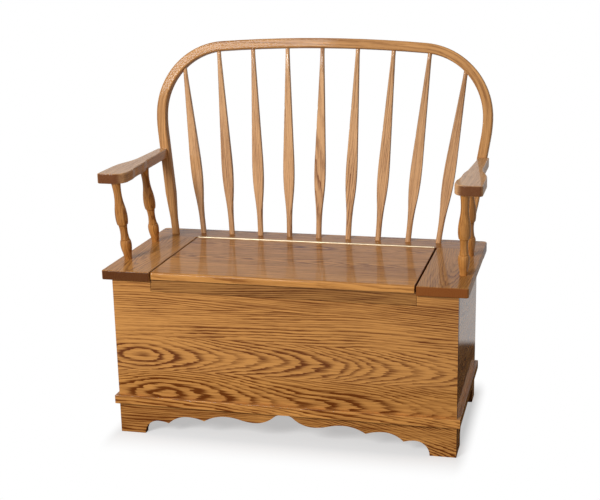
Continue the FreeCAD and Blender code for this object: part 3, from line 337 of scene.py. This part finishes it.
# Bow. A square oak stick, steamed and bent round a form, with its grain along the bend. It
# leans back from the rail, and its legs draw in towards their feet.
SEAT_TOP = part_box("rear_rail")[1][2]
BOW_LEAN = math.radians(11)
BOW_INSET = 0.060
BOW_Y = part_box("rear_rail")[1][1] - BOW_INSET
ARC_ACROSS, ARC_UP, ARC_RADIUS = 0.282, 0.3525, 0.1945
SPLAY_UP, SPLAY_SLOPE, SPLAY_ROUNDING = 0.3007, 0.1512, 0.03
CROWN_RADIUS = 4.0
BOW_STAVE = (1.0, 0.03, -0.06, 0.02, 0.0, 0.9, 0.004)
wood = Finish("bow_oak")
spot = wood.node("ShaderNodeTexCoord", {}, output=3)
x, y, z = [wood.node("ShaderNodeSeparateXYZ", {}, spot, output=i) for i in range(3)]
rise = (z - SEAT_TOP) * math.cos(BOW_LEAN) + (y - BOW_Y) * math.sin(BOW_LEAN)
depth = (y - BOW_Y) * math.cos(BOW_LEAN) - (z - SEAT_TOP) * math.sin(BOW_LEAN)
drop = SPLAY_UP - rise
side = x.math("ABSOLUTE") + (drop + (drop * drop + SPLAY_ROUNDING ** 2) ** 0.5) * (SPLAY_SLOPE / 2)
rise = rise - (ARC_ACROSS ** 2 - side * side).math("MAXIMUM", 0.0) * (0.5 / CROWN_RADIUS)
out = (side - ARC_ACROSS).math("MAXIMUM", 0.0)
over = (rise - ARC_UP).math("MAXIMUM", 0.0)
across = (out * out + over * over) ** 0.5 - ARC_RADIUS
along = (rise - ARC_UP).math("MINIMUM", 0.0) + over.math("ARCTAN2", out) * ARC_RADIUS
along = along + (ARC_ACROSS - side).math("MAXIMUM", 0.0)
half_length = ARC_RADIUS * math.pi / 2 + ARC_ACROSS
along = (half_length - along) * x.math("SIGN")
dress(["bow"], oak(wood, along, across, depth, [BOW_STAVE], bold=0.25, gloss=0.12,
                   body=BENT_OAK))

# Spindles. Nine feathers, each turned with a long swell and then planed flat in front and
# behind. Each blank was split along the grain, so its streaks follow its own axis.
FOOT_PITCH, TOP_PITCH, SPINDLE_RISE = 0.087, 0.103, 0.553
BLANK_STEP = 0.37
SPINDLE_STAVE = (9.0, 0.08, -0.3, 0.01, 0.0, 0.8, 0.004)
wood = Finish("spindle_oak")
spot = wood.node("ShaderNodeTexCoord", {}, output=3)
x, y, z = [wood.node("ShaderNodeSeparateXYZ", {}, spot, output=i) for i in range(3)]
pitch = (z - SEAT_TOP) * ((TOP_PITCH - FOOT_PITCH) / SPINDLE_RISE) + FOOT_PITCH
place_in_row = (x / pitch).math("ROUND")
across = x - place_in_row * pitch + place_in_row * BLANK_STEP
depth = y - (z - SEAT_TOP) * math.tan(BOW_LEAN)
dress(["spindle_%d" % i for i in range(1, 10)],
      oak(wood, z, across, depth, [SPINDLE_STAVE], ring=0.004, tone=1.03, bold=0.5,
          gloss=0.6, body=PALE_OAK))

# Arms. Each is sawn from one board to a wide paddle in front and a narrow neck at the bow, has
# its edges eased, and stands on two turned posts.
LEFT_ARM_STAVE = (0.0, -0.45, 0.66, 0.05, 0.0, 0.3, 0.01)
RIGHT_ARM_STAVE = (1.0, 0.46, 0.66, 0.05, 0.0, 0.3, 0.01)
for side, stave in (("left", LEFT_ARM_STAVE), ("right", RIGHT_ARM_STAVE)):
    dress(["arm_" + side], plank("arm_%s_oak" % side, "y", [stave], tone=1.04, gloss=0.36,
                                 bold=0.1, body=PALE_OAK))

POST_LEAN = 0.218
POST_STAVE = (1.0, 0.0, -0.35, 0.01, 0.0, 0.9, 0.004)
wood = Finish("post_oak")
spot = wood.node("ShaderNodeTexCoord", {}, output=3)
x, y, z = [wood.node("ShaderNodeSeparateXYZ", {}, spot, output=i) for i in range(3)]
dress(["arm_post_front_left", "arm_post_front_right", "arm_post_rear_left",
       "arm_post_rear_right"],
      oak(wood, z, x, y + (z - SEAT_TOP) * POST_LEAN, [POST_STAVE], ring=0.004, tone=1.02,
          bold=0.4, gloss=0.4))
DOWEL_STAVE = (1.0, 0.1, 0.6, 0.02, 0.0, 0.0, 0.004)
dress(["arm_dowel_left", "arm_dowel_right"], plank("dowel_oak", "y", [DOWEL_STAVE]))

# Studio. A white sweep, one broad soft light in front, to the left and a little above, and
# white surroundings that the lacquer mirrors. For the camera the sweep glows white, and shows the
# bench's shadow only in a band round the chest's footprint, narrower at the sides. In reflections
# the sweep is nearly black within about half a metre of the chest and glows at half strength
# beyond: a painted shade that darkens the lower part of the lacquered chest sides.
CHEST_HALF, CHEST_MIDDLE, CHEST_REACH = 0.457, -0.0408, 0.22
SWEEP_SIZE = 80.0
# Paper colour for the camera, for bounced light, and on its own for reflections, where it is
# nearly black: a painted shade mirrored in the lacquer.
PAPER_PAINTED_DARK_IN_REFLECTIONS, PAPER_SEEN, PAPER_SCATTERED = 0.05, 0.85, 0.50
SHADOW_NARROWING = 12.0
SHADOW_START, SHADOW_END, SHADOW_GLOW = -0.05, 0.14, 0.36
REFLECTED_SHADE_FADE_START, REFLECTED_SHADE_FADE_END, MIRROR_GLOW = 0.42, 0.50, 0.50
bpy.ops.object.select_all(action="DESELECT")
bpy.ops.mesh.primitive_grid_add(x_subdivisions=2, y_subdivisions=2, size=SWEEP_SIZE)
sweep = bpy.context.object
sweep.name = "sweep"
paper = Finish("paper")
seen = paper.node("ShaderNodeLightPath", {}, output=0)
mirrored = paper.node("ShaderNodeLightPath", {}, output=3)
scattered = paper.node("ShaderNodeLightPath", {}, output=2)
paper.feed(paper.shader.inputs["Base Color"],
           seen * PAPER_SEEN + scattered * PAPER_SCATTERED + PAPER_PAINTED_DARK_IN_REFLECTIONS)
paper.feed(paper.shader.inputs["Roughness"], 0.9)
paper.feed(paper.shader.inputs["Specular IOR Level"], 0.0)
spot = paper.node("ShaderNodeTexCoord", {}, output=3)
x, y = [paper.node("ShaderNodeSeparateXYZ", {}, spot, output=i) for i in (0, 1)]
beside = (x.math("ABSOLUTE") - CHEST_HALF).math("MAXIMUM", 0.0)
before = ((y - CHEST_MIDDLE).math("ABSOLUTE") - CHEST_REACH).math("MAXIMUM", 0.0)
clear = (beside * beside + before * before) ** 0.5
near = (beside * beside * SHADOW_NARROWING + before * before) ** 0.5
share = seen * near.ramp(SHADOW_START, SHADOW_END, SHADOW_GLOW, 1.0)
# In reflections the sweep stays nearly black within about half a metre of the chest (painted
# shade), and glows beyond it.
share = share + mirrored * clear.ramp(REFLECTED_SHADE_FADE_START, REFLECTED_SHADE_FADE_END, 0.0, MIRROR_GLOW)
glow = paper.node("ShaderNodeEmission", {}, Color=(1.0, 1.0, 1.0, 1.0), Strength=1.0)
lit = Value(paper, paper.shader.outputs[0])
out = paper.tree.nodes["Material Output"]
paper.feed(out.inputs["Surface"], paper.node("ShaderNodeMixShader", {}, share, lit, glow))
sweep.data.materials.append(paper.material)

FILL_LIGHT, WHITE = 0.27, 1.0
world = bpy.data.worlds.new("surroundings")
bpy.context.scene.world = world
world.use_nodes = True
air = world.node_tree
back = air.nodes["Background"]
back.inputs["Color"].default_value = (1.0, 1.0, 1.0, 1.0)
path = air.nodes.new("ShaderNodeLightPath")
plain = air.nodes.new("ShaderNodeMath")
plain.operation = "MAXIMUM"
air.links.new(path.outputs["Is Camera Ray"], plain.inputs[0])
air.links.new(path.outputs["Is Glossy Ray"], plain.inputs[1])
level = air.nodes.new("ShaderNodeMapRange")
level.inputs["To Min"].default_value = FILL_LIGHT
level.inputs["To Max"].default_value = WHITE
air.links.new(plain.outputs[0], level.inputs["Value"])
air.links.new(level.outputs["Result"], back.inputs["Strength"])

KEY_POWER, KEY_SIZE = 138.0, 1.3
KEY_PLACE = Vector((-1.5, -3.5, 2.45))
KEY_TARGET = Vector((0.0, 0.0, 0.5))
lamp = bpy.data.lights.new("key_light", "AREA")
lamp.shape = "RECTANGLE"
lamp.size = KEY_SIZE
lamp.size_y = KEY_SIZE
lamp.energy = KEY_POWER
key_light = bpy.data.objects.new("key_light", lamp)
bpy.context.collection.objects.link(key_light)
key_light.location = KEY_PLACE
key_light.rotation_euler = (KEY_TARGET - KEY_PLACE).to_track_quat("-Z", "Y").to_euler()

# Camera. It stands where the photograph was taken from: to the right of the middle, at about
# shoulder height, tipped down and rolled by half a degree.
PHOTO_WIDTH, PHOTO_HEIGHT = 600, 500
LENS_ACROSS, LENS_DOWN = 346.237, 259.488
FOCAL_PIXELS = 1168.498
SENSOR_WIDTH = 36.0
CAMERA_PLACE = (0.765337, -3.019187, 1.285122)
AZIMUTH, ELEVATION, ROLL = [math.radians(a) for a in (12.116, 15.269, -0.544)]
right = Vector((math.cos(AZIMUTH), math.sin(AZIMUTH), 0.0))
view = Vector((-math.sin(AZIMUTH) * math.cos(ELEVATION),
               math.cos(AZIMUTH) * math.cos(ELEVATION), -math.sin(ELEVATION)))
up = right.cross(view)
lens = bpy.data.cameras.new("camera")
lens.sensor_width = SENSOR_WIDTH
lens.lens = FOCAL_PIXELS * SENSOR_WIDTH / PHOTO_WIDTH
lens.shift_x = (PHOTO_WIDTH / 2 - LENS_ACROSS) / PHOTO_WIDTH
lens.shift_y = (LENS_DOWN - PHOTO_HEIGHT / 2) / PHOTO_WIDTH
lens.clip_end = 200.0
camera = bpy.data.objects.new("camera", lens)
bpy.context.collection.objects.link(camera)
turned_right = right * math.cos(ROLL) + up * math.sin(ROLL)
turned_up = up * math.cos(ROLL) - right * math.sin(ROLL)
turn = Matrix((turned_right, turned_up, -view)).transposed().to_4x4()
camera.matrix_world = Matrix.Translation(CAMERA_PLACE) @ turn
bpy.context.scene.camera = camera
bpy.context.scene.view_settings.view_transform = "Standard"
